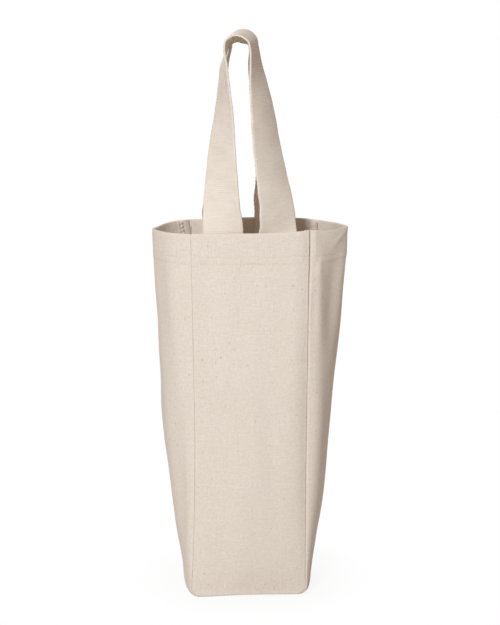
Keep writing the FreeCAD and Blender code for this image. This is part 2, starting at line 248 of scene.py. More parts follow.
def strip_row(section, side, z, folds, inset, hem_share):
    """One row of the strip's mesh as (out, y), its places across the cloth, and its two seams.

    Folds is added to the outer face along its normal, inset moves the row into the bag, and
    hem_share, 0 to 1, flattens the rolled edges of the layer that is folded in.
    """
    along = running(section)
    total = along[-1]
    ends = []
    corners = []
    for hand in (1, -1):
        line, run = (section, along) if hand == 1 else (section[::-1], total - along[::-1])
        radius = gusset_roll(side, hand, z)
        take, start, toward, inward, middle, alpha = rolled_end(line, run, radius, hand)
        deep = max(radius, PANEL_ROLL) / math.tan(alpha / 2) + TAIL
        angle = np.linspace(0, math.pi - alpha, ROLL_STEPS + 1)
        aside, sunk = radius * np.sin(angle), radius * (1 - np.cos(angle))
        roll = start + np.outer(aside, toward) + np.outer(sunk, inward)
        roll = np.vstack([roll, roll[-1] + (deep - take) * middle])
        flat_at = np.linspace(HEM_START - HEM_START_LAP, hem_gap(alpha), ROLL_STEPS + 2)
        flat = np.stack([np.interp(flat_at, run, line[:, k]) for k in (0, 1)], axis=-1)
        points = roll * (1 - hem_share) + flat * hem_share + inset * inward
        cloth = np.append(take - radius * angle, take - deep) * (1 - hem_share) + flat_at * hem_share
        ends.append((max(take + ROLL_CLEAR, HEM_START), points, cloth))
        to_strip = unit(-toward - middle * (-toward @ middle))
        corners.append((hand, line[0], middle, to_strip, deep, alpha))
    across = np.linspace(ends[0][0], total - ends[1][0], int(round(GUSSET_WIDTH / STEP)))
    face = np.stack([np.interp(across, along, section[:, k]) for k in (0, 1)], axis=-1)
    slope = np.gradient(face, axis=0)
    slope /= np.linalg.norm(slope, axis=1)[:, None]
    inward = np.stack([-slope[:, 1], slope[:, 0]], axis=-1)
    face = face + inward * (inset - folds(across, total))[:, None]
    row = np.concatenate([ends[0][1][::-1], face, ends[1][1]])
    places = np.concatenate([ends[0][2][::-1], across, total - ends[1][2]]) - total / 2
    return row, places, corners


def hem_imprint(z):
    """What the hem shows outside: a step where the folded layer ends, a dent along the stitches."""
    end = RIM - HEM_DEPTH
    step = HEM_STEP * ramp(z, end - HEM_STEP_HALF, end + HEM_STEP_HALF)
    return step - STITCH_DENT * dent(z, RIM - HEM_ROW, STITCH_DENT_HALF)


def hem_across(a, total, z):
    """The hem's imprint at a place across the strip; it stops short of both seams."""
    free = ramp(a, HEM_START, IMPRINT_FULL) * ramp(total - a, HEM_START, IMPRINT_FULL)
    return hem_imprint(z) * free


def slack(z):
    """How freely the side's cloth can wave: not at the base, and less where the hem stiffens it."""
    return ramp(z, 15, 70) * (1 - 0.6 * ramp(z, 285, 300))


def left_folds(z):
    """Soft folds of the left side, as a height over the smooth face."""
    def at(a, total):
        edge = ramp(a, 4, 14) * ramp(total - a, 4, 14)
        return edge * waves(LEFT_WAVES, a, z) * slack(z) + hem_across(a, total, z)
    return at


def right_folds(z):
    """Folds of the right side: a full roll behind the front seam, then a long valley and a ridge.

    A crease also runs down aslant from the rim, and the cloth is dimpled beside the hem.
    """
    def at(a, total):
        edge = ramp(a, 3, 9) * ramp(total - a, 4, 14)
        fold = ramp(z, 200, 250) * (1 - ramp(z, 280, 314))
        roll = 1.7 * dent(a, 11, 6.0) * fold
        valley = -2.6 * dent(a, 28.5, 8.5) * fold
        ridge = 0.8 * dent(a, 42.5, 6.0) * fold
        dimple = 0.9 * dent(a, 9.5, 3.0) * dent(z, 286, 6.0)
        pinch = -0.8 * dent(a, 7.5, 2.5) * dent(z, 294, 3.0)
        across, up = a - 43, z - 316
        aslant = across * 0.54 - up * 0.84
        run = across * 0.84 + up * 0.54
        crease = 0.9 * dent(aslant, 0, 2.4) * ramp(run, -26, -12) * (1 - ramp(run, 0, 4))
        soft = waves(RIGHT_WAVES, a, z) * slack(z)
        folds = roll + valley + ridge + dimple + pinch + crease + soft
        return edge * folds + hem_across(a, total, z)
    return at


def no_folds(a, total):
    """The base lies flat."""
    return np.zeros_like(a)


def wall_heights():
    """Heights of the mesh rows between the turn and the rim, closer together at the hem line."""
    low = np.arange(TURN, RIM - 30, STEP)
    hem_line = np.arange(RIM - 29, RIM - 19, FINE_STEP)
    high = np.arange(RIM - 18.5, RIM - 2, STEP)
    return np.concatenate([low, hem_line, high])


def hem_heights():
    """Heights of the mesh rows of the folded layer, from the rim down."""
    return np.arange(RIM - RIM_FOLD - FOLD_CLEAR, RIM - HEM_DEPTH, -STEP)


seams = {(side, hand): [] for side in (-1, 1) for hand in (1, -1)}  # corner, inwards, to the strip, depth
seam_angles = {key: [] for key in seams}  # height and half the angle between panel and strip


def strip_half(side, seam, bulge, shape, folds):
    """Rows from the middle of the base to the end of the turned hem, on one side of the bag."""
    rows = []
    hub = float(seam(TURN)) - TURN

    def add(across, height, out_x, out_z, z, lift=0.0, inset=0.0, hem_share=0.0):
        section = gusset_section(float(swell(bulge, z)), float(half_depth(z)), *shape(z))
        lie = folds(z) if out_z == 0 else no_folds
        row, places, corners = strip_row(section, side, z, lie, inset, hem_share)

        def place(p):
            up = np.maximum(height + out_z * p[..., 0], 0) + lift
            return np.stack([side * (across + out_x * p[..., 0]), p[..., 1], up], axis=-1)

        def direction(v):
            return np.array([side * out_x * v[0], v[1], out_z * v[0]])

        rows.append((place(row), places, z, hem_share))
        if hem_share == 0:
            for hand, corner, middle, to_strip, deep, alpha in corners:
                seams[side, hand].append((place(corner), direction(middle), direction(to_strip), deep))
                seam_angles[side, hand].append((z, alpha))

    for x in np.linspace(0, hub, 20)[1:-1]:
        add(x, 0.0, 0.0, -1.0, 0.0)
    for angle in np.radians(np.linspace(90, 0, 12)):
        c, s = math.cos(angle), math.sin(angle)
        add(hub + TURN * c, TURN * (1 - s), c, -s, TURN * (1 - s))
    for z in wall_heights()[1:]:
        add(float(seam(z)), z, 1.0, 0.0, z)
    top = RIM - RIM_FOLD
    for angle in FOLD_ANGLES:
        lift, inset = RIM_FOLD * math.sin(angle), RIM_FOLD * (1 - math.cos(angle))
        add(float(seam(top)), top, 1.0, 0.0, top, lift, inset, angle / math.pi)
    for z in hem_heights():
        add(float(seam(z)), z, 1.0, 0.0, z, 0.0, 2 * RIM_FOLD, 1.0)
    return rows


right_rows = strip_half(1, right_seam, right_bulge, right_shape, right_folds)
left_rows = strip_half(-1, left_seam, left_bulge, left_shape, left_folds)
strip_rows = left_rows[::-1] + right_rows
strip_points = settle(np.array([row[0] for row in strip_rows]))
strip_across = np.array([row[1] for row in strip_rows])
strip_columns = strip_points.shape[1]
strip_run = running(strip_points[:, strip_columns // 2])
strip_along = np.repeat(strip_run[:, None], strip_columns, axis=1)


def cloth_object(name, points, across, along, outward_row):
    """A woven sheet as a mesh, from a grid of points in millimetres, with its flat place as UVs.

    The face in the middle of outward_row is used to see which way round the sheet is.
    """
    rows, columns = points.shape[:2]
    number = np.arange(rows * columns).reshape(rows, columns)
    faces = np.stack([number[:-1, :-1], number[:-1, 1:], number[1:, 1:], number[1:, :-1]], axis=-1)
    r, c = outward_row, columns // 2
    a, b, d = points[r, c], points[r, c + 1], points[r + 1, c]
    normal = np.cross(b - a, d - a)
    if normal @ (a * np.array([1, 1, 0])) < 0:
        faces = faces[..., ::-1]
    quads = faces.reshape(-1, 4).tolist()
    return mesh_piece(name, points.reshape(-1, 3), quads, across.ravel(), along.ravel())


def mesh_piece(name, points, faces, across, along):
    """A mesh object from points and flat places in millimetres."""
    mesh = bpy.data.meshes.new(name)
    mesh.from_pydata((points * MM).tolist(), [], faces)
    flat = np.stack([across, along], axis=-1) * MM
    layer = mesh.uv_layers.new(name="cloth")
    corner = np.empty(len(mesh.loops), dtype=np.int32)
    mesh.loops.foreach_get("vertex_index", corner)
    layer.data.foreach_set("uv", flat[corner].astype(np.float32).ravel())
    obj = bpy.data.objects.new(name, mesh)
    bpy.context.scene.collection.objects.link(obj)
    bpy.ops.object.select_all(action="DESELECT")
    obj.select_set(True)
    bpy.context.view_layer.objects.active = obj
    return obj


def finish_cloth(obj, material, thick):
    """Gives a sheet its thickness, towards the inside, and its cloth."""
    wall = obj.modifiers.new("thickness", "SOLIDIFY")
    wall.thickness = thick * MM
    wall.offset = -1
    bpy.ops.object.modifier_apply(modifier=wall.name)
    bpy.ops.object.shade_smooth_by_angle(angle=math.radians(60))
    obj.data.materials.append(material)


class Nodes:
    """Adds the nodes of one material, or of the world, and links them."""

    def __init__(self, owner, shader="Principled BSDF"):
        owner.use_nodes = True
        self.tree = owner.node_tree
        self.shader = self.tree.nodes[shader]

    def add(self, kind, inputs=(), **settings):
        """One node; inputs maps a socket to a value or to another node's output."""
        node = self.tree.nodes.new(kind)
        for key, setting in settings.items():
            setattr(node, key, setting)
        for socket, source in dict(inputs).items():
            self.feed(node.inputs[socket], source)
        return node

    def feed(self, socket, source):
        """Links an output, or sets a plain value."""
        if isinstance(source, bpy.types.NodeSocket):
            self.tree.links.new(source, socket)
        else:
            socket.default_value = source

    def math(self, operation, a, b=0.0):
        """One sum on numbers."""
        return self.add("ShaderNodeMath", {0: a, 1: b}, operation=operation).outputs[0]

    def vector(self, operation, inputs):
        """One sum on places."""
        return self.add("ShaderNodeVectorMath", inputs, operation=operation).outputs[0]

    def total(self, *shares):
        """Sum of values, each times its share."""
        parts = [self.math("MULTIPLY", value, share) for value, share in shares]
        result = parts[0]
        for part in parts[1:]:
            result = self.math("ADD", result, part)
        return result

    def noise(self, place, scale, detail, rough):
        """Soft noise, about 0.5."""
        inputs = {"Vector": place, "Scale": scale, "Detail": detail, "Roughness": rough}
        return self.add("ShaderNodeTexNoise", inputs).outputs["Fac"]

    def ridges(self, place, pitch):
        """Waves along one direction, from -1 to 1, one for each pitch in metres."""
        return self.math("SINE", self.math("MULTIPLY", place, 2 * math.pi / pitch))

    def stretched(self, place, across, along):
        """A place with its two directions scaled apart, for threads."""
        return self.add("ShaderNodeMapping", {"Vector": place, "Scale": (across, along, 1)}).outputs[0]

    def wandering(self, place, scale, reach):
        """A place that strays a little, so that threads don't run like ruled lines."""
        noise = self.add("ShaderNodeTexNoise", {"Vector": place, "Scale": scale, "Detail": 2.0})
        stray = self.vector("SUBTRACT", {0: noise.outputs["Color"], 1: (0.5, 0.5, 0.5)})
        stray = self.vector("SCALE", {0: stray, "Scale": reach})
        moved = self.vector("ADD", {0: place, 1: stray})
        return self.add("ShaderNodeSeparateXYZ", {0: moved})

    def tones(self, value, low, dark, high, light):
        """A colour between dark and light, for values from low to high."""
        ramp_node = self.add("ShaderNodeValToRGB", {0: value})
        first, last = ramp_node.color_ramp.elements
        first.position, first.color = low, (*dark, 1)
        last.position, last.color = high, (*light, 1)
        return ramp_node.outputs[0]

    def cloth_finish(self, height, strength, sheen):
        """Matt fibre with a raised weave."""
        bump = self.add("ShaderNodeBump", {"Height": height, "Strength": strength, "Distance": 0.0004})
        self.feed(self.shader.inputs["Normal"], bump.outputs[0])
        self.shader.inputs["Roughness"].default_value = 0.92
        self.shader.inputs["Specular IOR Level"].default_value = 0.15
        self.shader.inputs["Sheen Weight"].default_value = sheen
        self.shader.inputs["Sheen Roughness"].default_value = 0.6


def canvas_cloth():
    """Undyed plain-weave canvas: uneven threads, a warm mottle and small brown flecks of seed."""
    material = bpy.data.materials.new("undyed_canvas")
    n = Nodes(material)
    place = n.add("ShaderNodeUVMap", uv_map="cloth").outputs[0]
    thread = n.wandering(place, 90.0, 0.0012)
    two_threads = 0.00112
    warp = n.ridges(thread.outputs[0], two_threads)
    weft = n.ridges(thread.outputs[1], two_threads)
    weave = n.math("MULTIPLY", warp, weft)
    slub_across = n.noise(n.stretched(place, 70, 1500), 1.0, 3.0, 0.6)
    slub_along = n.noise(n.stretched(place, 1700, 60), 1.0, 3.0, 0.6)
    slub = n.math("ADD", slub_across, slub_along)
    mottle = n.noise(place, 420.0, 3.0, 0.65)
    cloud = n.noise(place, 17.0, 2.0, 0.5)
    grain = n.total((slub, 0.35), (mottle, 0.57), (cloud, 0.08))
    tone = n.tones(grain, 0.45, (0.71, 0.61, 0.52), 0.85, (0.845, 0.765, 0.68))
    flecks = []
    for scale, largest in ((130.0, 0.13), (260.0, 0.17)):  # cells per metre, and a fleck's share of its cell
        cell = n.add("ShaderNodeTexVoronoi", {"Vector": n.stretched(place, 1.0, 0.75), "Scale": scale})
        keep = n.add("ShaderNodeSeparateColor", {0: cell.outputs["Color"]}).outputs[0]
        size = n.math("MULTIPLY", n.math("POWER", keep, 2.5), largest)
        flecks.append(n.math("LESS_THAN", cell.outputs["Distance"], size))
    fleck_tint = n.math("MULTIPLY", n.math("MAXIMUM", *flecks), 0.3)
    flecked = n.add("ShaderNodeMix", {"Factor": fleck_tint}, data_type="RGBA")
    n.feed(flecked.inputs[6], tone)
    flecked.inputs[7].default_value = (0.29, 0.21, 0.14, 1)
    n.feed(n.shader.inputs["Base Color"], flecked.outputs[2])
    n.cloth_finish(n.total((weave, 0.14), (slub, 0.25)), 0.4, 0.1)
    return material


canvas = canvas_cloth()
right_wall_row = len(strip_rows) - WALL_ROW
gusset = cloth_object("gusset_cloth", strip_points, strip_across, strip_along, right_wall_row)
finish_cloth(gusset, canvas, CLOTH)
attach(gusset, "bag")
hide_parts("gusset_strip")


# Front and back panels. Each is one piece of the same canvas with rounded bottom corners and a
# hem folded in at the top; all three sewn edges roll in at the seam with the gusset strip.
panel_bow = curve_through((0, 25, 60, 150, 260, 318), (0, 1.6, 2.6, 3.0, 1.4, 0.6))
panel_edge = curve_through((0, 20, 60, 200, 270, 318), (0, 2.0, 3.6, 4.0, 2.8, 3.6))
EDGE_FALL = 5.0  # over which a panel falls away to its right seam
PANEL_COLUMNS = 46  # of the mesh, between the rolled edges
CORNER_TOP = 16.0  # up to here the rows lie closer, round the bottom corners
FRONT_WAVES = ((0.4, 0.115, 0.009, -0.3), (0.2, 0.19, -0.016, 1.7), (0.1, 0.31, 0.024, 0.4))
BACK_WAVES = ((0.6, 0.1, -0.012, 0.9), (0.3, 0.21, 0.013, -1.1), (0.18, 0.28, -0.02, 2.2))


def seam_angle(side, hand, z):
    """Half the angle between panel and strip at their seam."""
    table = np.array(seam_angles[side, hand])
    return float(np.interp(z, table[:, 0], table[:, 1]))


def corner_inset(z):
    """How far the rounded bottom corner takes a panel's edge in, at a height."""
    rise = min(max(z, 0), TURN)
    return TURN - math.sqrt(TURN**2 - (TURN - rise) ** 2)


def panel_face(x, z, ripple):
    """How far a panel's outer face stands from the bag's middle plane.

    Ripple is the panel's table of waves. The face is drawn in most at its right seam.
    """
    level = np.clip(z, TURN, RIM)
    middle = (right_seam(level) - left_seam(level)) / 2
    half = (right_seam(level) + left_seam(level)) / 2
    share = np.clip((x - middle) / half, -1, 1)
    from_edge = half - abs(x - middle)
    loose = ramp(from_edge, 1, 14) * ramp(z, 3, 30) * (1 - 0.75 * ramp(z, RIM - 30, RIM - 20))
    from_right = np.clip(right_seam(level) - x, 0, None)
    right_fall = panel_edge(z) * (1 - np.exp(-from_right / EDGE_FALL)) * ramp(share, -1.1, 0.3)
    crown = panel_bow(z) * (1 - share**2) + right_fall
    hem = hem_imprint(z) * ramp(from_edge, HEM_START, IMPRINT_FULL)
    return half_depth(z) + crown + waves(ripple, x, z) * loose + hem


def panel_place(x, z, hem_share, inset, lift, ripple, hand, tail):
    """A point of the panel as (x, distance from the middle plane, z), rolled in near its seams."""
    level = min(max(z, TURN), RIM)
    left, right = -float(left_seam(level)), float(right_seam(level))
    gaps = {(1, 0): right - x, (-1, 0): x - left, (0, -1): z}
    toward = min(gaps, key=gaps.get)
    gap = gaps[toward]
    for hub_x, side in ((right - TURN, 1), (left + TURN, -1)):
        if (x - hub_x) * side > 0 and z < TURN:
            reach = math.hypot(x - hub_x, z - TURN)
            toward = ((x - hub_x) / reach, (z - TURN) / reach)
            gap = TURN - reach
    side = 1 if x > (left + right) / 2 else -1
    height = z if toward[1] == 0 else TURN * (1 + toward[1])
    alpha = seam_angle(side, hand, height)
    take = PANEL_ROLL / math.tan(alpha / 2)
    if gap >= take:
        return x, float(panel_face(x, z, ripple)) - inset, z + lift
    share = 1 - max(gap, 0) / take
    turn = share * (math.pi - alpha)
    rolled = PANEL_ROLL * math.sin(turn)
    sink = PANEL_ROLL * (1 - math.cos(turn))
    if tail:
        past = max(gusset_roll(side, hand, height), PANEL_ROLL) / math.tan(alpha / 2) + TAIL - take
        rolled += past * math.cos(turn)
        sink += past * math.sin(turn)
    free = take - HEM_START + HEM_START_LAP
    flat = free + (take - hem_gap(alpha) - free) * share
    run = rolled * (1 - hem_share) + flat * hem_share
    start_x = x - toward[0] * (take - gap)
    start_z = z - toward[1] * (take - gap)
    face = float(panel_face(start_x, start_z, ripple)) - sink * (1 - hem_share) - inset
    return start_x + toward[0] * run, face, start_z + toward[1] * run + lift


def panel_sheet(ripple, hand):
    """Rows of a panel from its foot to the end of the turned hem, their flat places and their levels.

    A level is a height, the share of the fold at the rim, inset, lift and whether it is the foot.
    """
    half_corner = math.radians(45)  # panel and base meet at a right angle
    foot_take = PANEL_ROLL / math.tan(half_corner / 2)
    roll = [foot_take * k / ROLL_STEPS for k in range(ROLL_STEPS + 1)]
    heights = roll + list(np.arange(roll[-1] + 0.8, CORNER_TOP, 1.0))
    heights += [z for z in wall_heights() if z > CORNER_TOP + 1]
    levels = [(0.0, 0.0, 0.0, 0.0, True)] + [(z, 0.0, 0.0, 0.0, False) for z in heights]
    for angle in FOLD_ANGLES:
        inset, lift = RIM_FOLD * (1 - math.cos(angle)), RIM_FOLD * math.sin(angle)
        levels.append((RIM - RIM_FOLD, angle / math.pi, inset, lift, False))
    levels += [(z, 1.0, 2 * RIM_FOLD, 0.0, False) for z in hem_heights()]
    rows, places, runs = [], [], []
    run = 0.0
    before = None
    for z, hem_share, inset, lift, foot in levels:
        level = max(z, TURN)
        left = corner_inset(z) - float(left_seam(level))
        right = float(right_seam(level)) - corner_inset(z)
        edges = []
        for side in (-1, 1):
            take = PANEL_ROLL / math.tan(seam_angle(side, hand, z) / 2)
            edges.append(np.append(0, take * np.arange(ROLL_STEPS + 1) / ROLL_STEPS))
        middle = np.linspace(left + HEM_START, right - HEM_START, PANEL_COLUMNS)
        across = np.concatenate([left + edges[0], middle, (right - edges[1])[::-1]])
        tails = [foot or k in (0, len(across) - 1) for k in range(len(across))]
        row = [panel_place(x, z, hem_share, inset, lift, ripple, hand, t) for x, t in zip(across, tails)]
        here = np.array(row[len(row) // 2])
        run += 0.0 if before is None else float(np.linalg.norm(here - before))
        before = here
        rows.append(row)
        places.append(across)
        runs.append(np.full(len(across), run))
    return np.array(rows), np.array(places), np.array(runs), levels


panels = {}
for name, facing, ripple in (("front_canvas", -1, FRONT_WAVES), ("back_canvas", 1, BACK_WAVES)):
    points, across, along, levels = panel_sheet(ripple, -facing)
    points = settle(points * np.array([1, facing, 1]))
    panel = cloth_object(name, points, across, along, WALL_ROW)
    finish_cloth(panel, canvas, CLOTH)
    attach(panel, "bag")
    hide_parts("front_panel" if facing < 0 else "back_panel")
    panels[facing] = (panel, points, levels)


# Seams. Inside, the edges of panel and strip stand up together as a doubled band from rim to rim,
# overlocked with cotton thread; at the back corners of the mouth the band is laid over.
ALLOWANCE = 9.0  # width of the band
ALLOWANCE_SHARES = np.array([0, 0.12, 0.24, 0.36, 0.48, 0.6, 0.72, 0.86, 1.0])
SUNK = 0.25  # of the band's foot into the rolled edges
LAYERS = 0.72  # half the thickness of the two edges together
HEM_BULK = 0.7  # what the folded hem adds to that, as a share
PARTED_SHARE = 2 / 9  # depth of the notch between the two cut edges
LAID_LEFT_DEG, LAID_RIGHT_DEG = 66, 60  # lean of the band at the back corners of the mouth
LAID_BEND = 3.5  # run over which the band bends
LAID_WIDER = 4.0  # what shows more of the band where it is laid over on the left
BAND_DROP, LAID_DROP = 1.6, 0.2  # from the rim to the band's ends
LOOP_PITCH = 3.2  # from one overlock loop to the next
LOOP_REACH, LOOP_OVER = 2.9, 0.25  # half a loop's depth, and how far it stands off the cloth
LOOP_SPREAD = 1.4  # of its thread along the seam
LOOP_MIDDLE = 2.6  # from the cut edge
LOOP_SLANT = 0.22  # run along the seam per depth


def thread_finish():
    """Undyed sewing thread with its twist."""
    material = bpy.data.materials.new("cotton_thread")
    n = Nodes(material)
    place = n.add("ShaderNodeTexCoord").outputs["Object"]
    fuzz = n.noise(place, 1500.0, 2.0, 0.6)
    n.feed(n.shader.inputs["Base Color"], n.tones(fuzz, 0.3, (0.62, 0.55, 0.45), 0.7, (0.82, 0.76, 0.66)))
    twist = {"Vector": place, "Scale": 900.0, "Distortion": 2.0}
    ply = n.add("ShaderNodeTexWave", twist, bands_direction="DIAGONAL")
    n.cloth_finish(ply.outputs["Fac"], 0.3, 0.1)
    return material


def seam_lean(corner, side, hand):
    """How far the band is pressed over towards the gusset, in degrees; it sways on its way up."""
    x, _, z = corner
    wave = 9 * math.sin(z * 0.047 + x * 0.06 + hand) + 4 * math.sin(z * 0.11)
    if hand < 0:
        laid = LAID_LEFT_DEG if side < 0 else LAID_RIGHT_DEG
        return wave + (laid - wave) * float(ramp(z, 255, 300))
    return wave * (1 - 0.6 * float(ramp(z, 280, 310)))


def seam_stations(hand):
    """The band's middle line across, at each station from the left rim to the right one."""
    grid = []
    normals = []
    bulk = []
    for side, order in ((-1, -1), (1, 1)):
        for corner, inward, to_strip, deep in seams[side, hand][::order]:
            lean = math.radians(seam_lean(corner, side, hand))
            laid = float(ramp(corner[2], 270, 300)) if side < 0 and hand < 0 else 0.0
            run = ALLOWANCE_SHARES * (ALLOWANCE + LAID_WIDER * laid)
            angle = lean * np.clip(run / LAID_BEND, 0, 1)
            mid = (angle[1:] + angle[:-1]) / 2
            step = np.diff(run)
            crumple = 0.5 * laid * np.sin(run * 1.5 + 0.02 * corner[2]) * np.clip(run / 4, 0, 1)
            ahead = np.concatenate([[0], np.cumsum(step * np.cos(mid))]) + deep - SUNK + crumple
            aside = np.concatenate([[0], np.cumsum(step * np.sin(mid))])
            grid.append(corner + np.outer(ahead, inward) + np.outer(aside, to_strip))
            normals.append(np.outer(np.cos(angle), to_strip) - np.outer(np.sin(angle), inward))
            bulk.append(1 + HEM_BULK * float(ramp(corner[2], RIM - HEM_DEPTH - 2, RIM - HEM_DEPTH + 2)))
    grid, normals, bulk = np.array(grid), np.array(normals), np.array(bulk)
    for end in (0, -1):
        grid[end, :, 2] = RIM - (LAID_DROP if hand < 0 and end == 0 else BAND_DROP)
    return grid, normals, bulk


def tube_faces(rows, count):
    """Numbers of the points of a tube, row by row, and the faces of its wall."""
    number = np.arange(rows * count).reshape(rows, count)
    after = np.roll(number, -1, axis=1)
    faces = np.stack([number[:-1], after[:-1], after[1:], number[1:]], axis=-1)
    return number, faces.reshape(-1, 4).tolist()


def seam_band(name, grid, normals, bulk):
    """The doubled edge as a closed band; the two layers part a little along their cut edge."""
    half = LAYERS * bulk[:, None, None]
    notch = grid[:, -1] - PARTED_SHARE * (grid[:, -1] - grid[:, -2])
    loop = np.concatenate([grid + normals * half, notch[:, None], (grid - normals * half)[:, ::-1]], axis=1)
    loop = settle(loop)
    rows, count = loop.shape[:2]
    number, faces = tube_faces(rows, count)
    faces += [number[0].tolist(), number[-1][::-1].tolist()]
    across = running(loop[rows // 2])
    run = running(grid[:, -1])
    return mesh_piece(name, loop.reshape(-1, 3), faces, np.tile(across, rows), np.repeat(run, count))


def outward_faces():
    """Turns the faces of the selected closed mesh outwards and shades it smooth."""
    bpy.ops.object.mode_set(mode="EDIT")
    bpy.ops.mesh.select_all(action="SELECT")
    bpy.ops.mesh.normals_make_consistent(inside=False)
    bpy.ops.object.mode_set(mode="OBJECT")
    bpy.ops.object.shade_smooth_by_angle(angle=math.radians(50))


def overlock_loop():
    """One turn of the overlock thread round the cut edge, as points and faces in millimetres."""
    bpy.ops.object.select_all(action="DESELECT")
    bpy.ops.mesh.primitive_torus_add(major_segments=10, minor_segments=4, major_radius=1.0, minor_radius=0.17)
    return take_shape((LOOP_REACH, LAYERS + LOOP_OVER, LOOP_SPREAD))


def from_lowest(face):
    """A face's points in their order, starting with the lowest number."""
    first = face.index(min(face))
    return face[first:] + face[:first]


def take_shape(size):
    """Points and faces of the new primitive, scaled to a size; the object itself is then removed.

    Blender numbers a primitive's points anew in each run, so they are put in order of place.
    """
    obj = bpy.context.active_object
    bpy.ops.object.mode_set(mode="EDIT")
    bpy.ops.mesh.select_all(action="SELECT")
    bpy.ops.transform.resize(value=size)
    bpy.ops.object.mode_set(mode="OBJECT")
    points = np.array([v.co[:] for v in obj.data.vertices])
    order = np.lexsort(np.round(points, 5).T)
    number = np.argsort(order)
    faces = sorted(from_lowest(number[list(p.vertices)].tolist()) for p in obj.data.polygons)
    bpy.data.objects.remove(obj)
    return points[order], faces


def copies(name, shape, frames):
    """One mesh of many copies; a frame is a place and the directions of the shape's three axes."""
    points, faces = shape
    placed = [place + points @ np.array(axes) for place, axes in frames]
    every = [[k + i * len(points) for k in face] for i in range(len(frames)) for face in faces]
    flat = np.zeros(len(points) * len(frames))
    return mesh_piece(name, np.concatenate(placed), every, flat, flat)


def along_line(line, values, pitch, margin):
    """Values taken at even steps along a line of points."""
    run = running(line)
    even = np.arange(margin, run[-1] - margin, pitch)
    return [np.stack([np.interp(even, run, v[:, k]) for k in range(3)], axis=-1) for v in values]


thread = thread_finish()
loop_shape = overlock_loop()
for hand, side_name in ((1, "front"), (-1, "back")):
    grid, normals, bulk = seam_stations(hand)
    band = seam_band(f"{side_name}_seam_cloth", grid, normals, bulk)
    outward_faces()
    band.data.materials.append(canvas)
    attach(band, "bag")
    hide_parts(f"{side_name}_seam")
    to_edge = grid[:, -1] - grid[:, -3]
    to_edge = to_edge / np.linalg.norm(to_edge, axis=1)[:, None]
    centre = settle(grid[:, -1] - LOOP_MIDDLE * to_edge)
    deep = settle(grid[:, -1]) - centre
    thick = normals[:, -1] * bulk[:, None]
    frames = []
    for place, inward, through in zip(*along_line(centre, (centre, deep, thick), LOOP_PITCH, 2.0)):
        inward = unit(inward)
        ahead = np.cross(inward, unit(through))
        frames.append((place, (unit(inward + LOOP_SLANT * ahead), through, ahead)))
    loops = copies(f"{side_name}_overlock", loop_shape, frames)
    outward_faces()
    loops.data.materials.append(thread)
    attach(loops, "bag")
    panel = panels[-hand][0]


# Front and back handles. Each is one length of cotton webbing; its ends are sewn flat inside the
# hem, its legs turn a quarter on the way up, and at the top it bends over in a narrow arch.
STRAP_WIDTH = 34.0
STRAP_THICK = 2.0
STRAP_STEP = 1.6  # between the mesh's rows
SEWN = 25.4  # length of an end inside the hem
SEWN_GAP = 0.2  # between the hem and the strap
HANDLE_HEIGHT = 166.0  # over the rim
TOP_Y = 17.6  # how far the arch stands from the bag's middle plane
EDGE_SHARE = 0.9  # of the half width, from where the edge is uneven
FLAT_POINTS = 15  # across the strap's flat face
FLAT_SHARE = 0.88  # of the half width, to which that face reaches
EDGE_PLACES = (0.94, 0.975, 1)  # shares of the half width
EDGE_SWELL = (0.97, 0.8, 0.42)  # shares of the thickness there
SWAY_CUP = 0.3  # slight hollow that changes side along the strap
RIGHT_CUP = 2.2  # hollow of the right leg
CUP_START = 40.0  # over which a strap takes its hollow above the sewn end


def smooth_line(points, step):
    """Evenly spaced points on a smooth curve through the given ones."""
    known = np.array(points, float)
    knot = running(known[:, :3])
    fine = np.linspace(0, knot[-1], 4000)
    curves = [curve_through(knot, known[:, k]) for k in range(known.shape[1])]
    line = np.stack([curve(fine) for curve in curves], axis=-1)
    run = running(line[:, :3])
    even = np.linspace(0, run[-1], int(run[-1] / step) + 1)
    return np.stack([np.interp(even, run, line[:, k]) for k in range(known.shape[1])], axis=-1), even


def round_arch(middle, height, radius, ease):
    """Places of the arch at the top, as height over the rim, place across and turn.

    Ease is what the turn lacks of a right angle where the left leg runs into the arch.
    """
    places = []
    for a in np.radians(range(0, 181, 30)):
        turn = 90 - ease * max(math.cos(a), 0) ** 2
        places.append((height - radius + radius * math.sin(a), middle - radius * math.cos(a), turn))
    return places


def strap_route(facing, feet, left_leg, right_leg, arch):
    """Middle of a strap and its turn in degrees, from the left sewn end to the right one.

    A leg lists height over the rim, place across and turn; a foot its place and its turn at the rim.
    """
    def sewn_y(x, z):
        aside = STRAP_WIDTH / 2 - 1
        panel = min(float(panel_face(x + k, z, ())) for k in (-aside, 0, aside))
        return panel - 2 * RIM_FOLD - STRAP_THICK / 2 - SEWN_GAP

    def lean(turn):
        return STRAP_WIDTH / 2 * math.sin(math.radians(turn))

    def depth(foot, height):
        root = sewn_y(foot[0], RIM) - lean(foot[1])
        return facing * (root + (TOP_Y - root) * np.clip(height / HANDLE_HEIGHT, 0, 1))

    def sewn(x, turn):
        places = ((RIM - SEWN, 0), (RIM - SEWN * 0.6, 0.1 * turn), (RIM, turn))
        return [(x, facing * (sewn_y(x, z) - lean(t)), z, t) for z, t in places]

    left, right = feet
    route = sewn(*left)
    route += [(x, depth(left, h), RIM + h, turn) for h, x, turn in left_leg]
    route += [(x, (depth(left, h) + depth(right, h)) / 2, RIM + h, turn) for h, x, turn in arch]
    route += [(x, depth(right, h), RIM + h, 180 - turn) for h, x, turn in right_leg[::-1]]
    route += [(x, y, z, 180 - turn) for x, y, z, turn in sewn(*right)[::-1]]
    return route


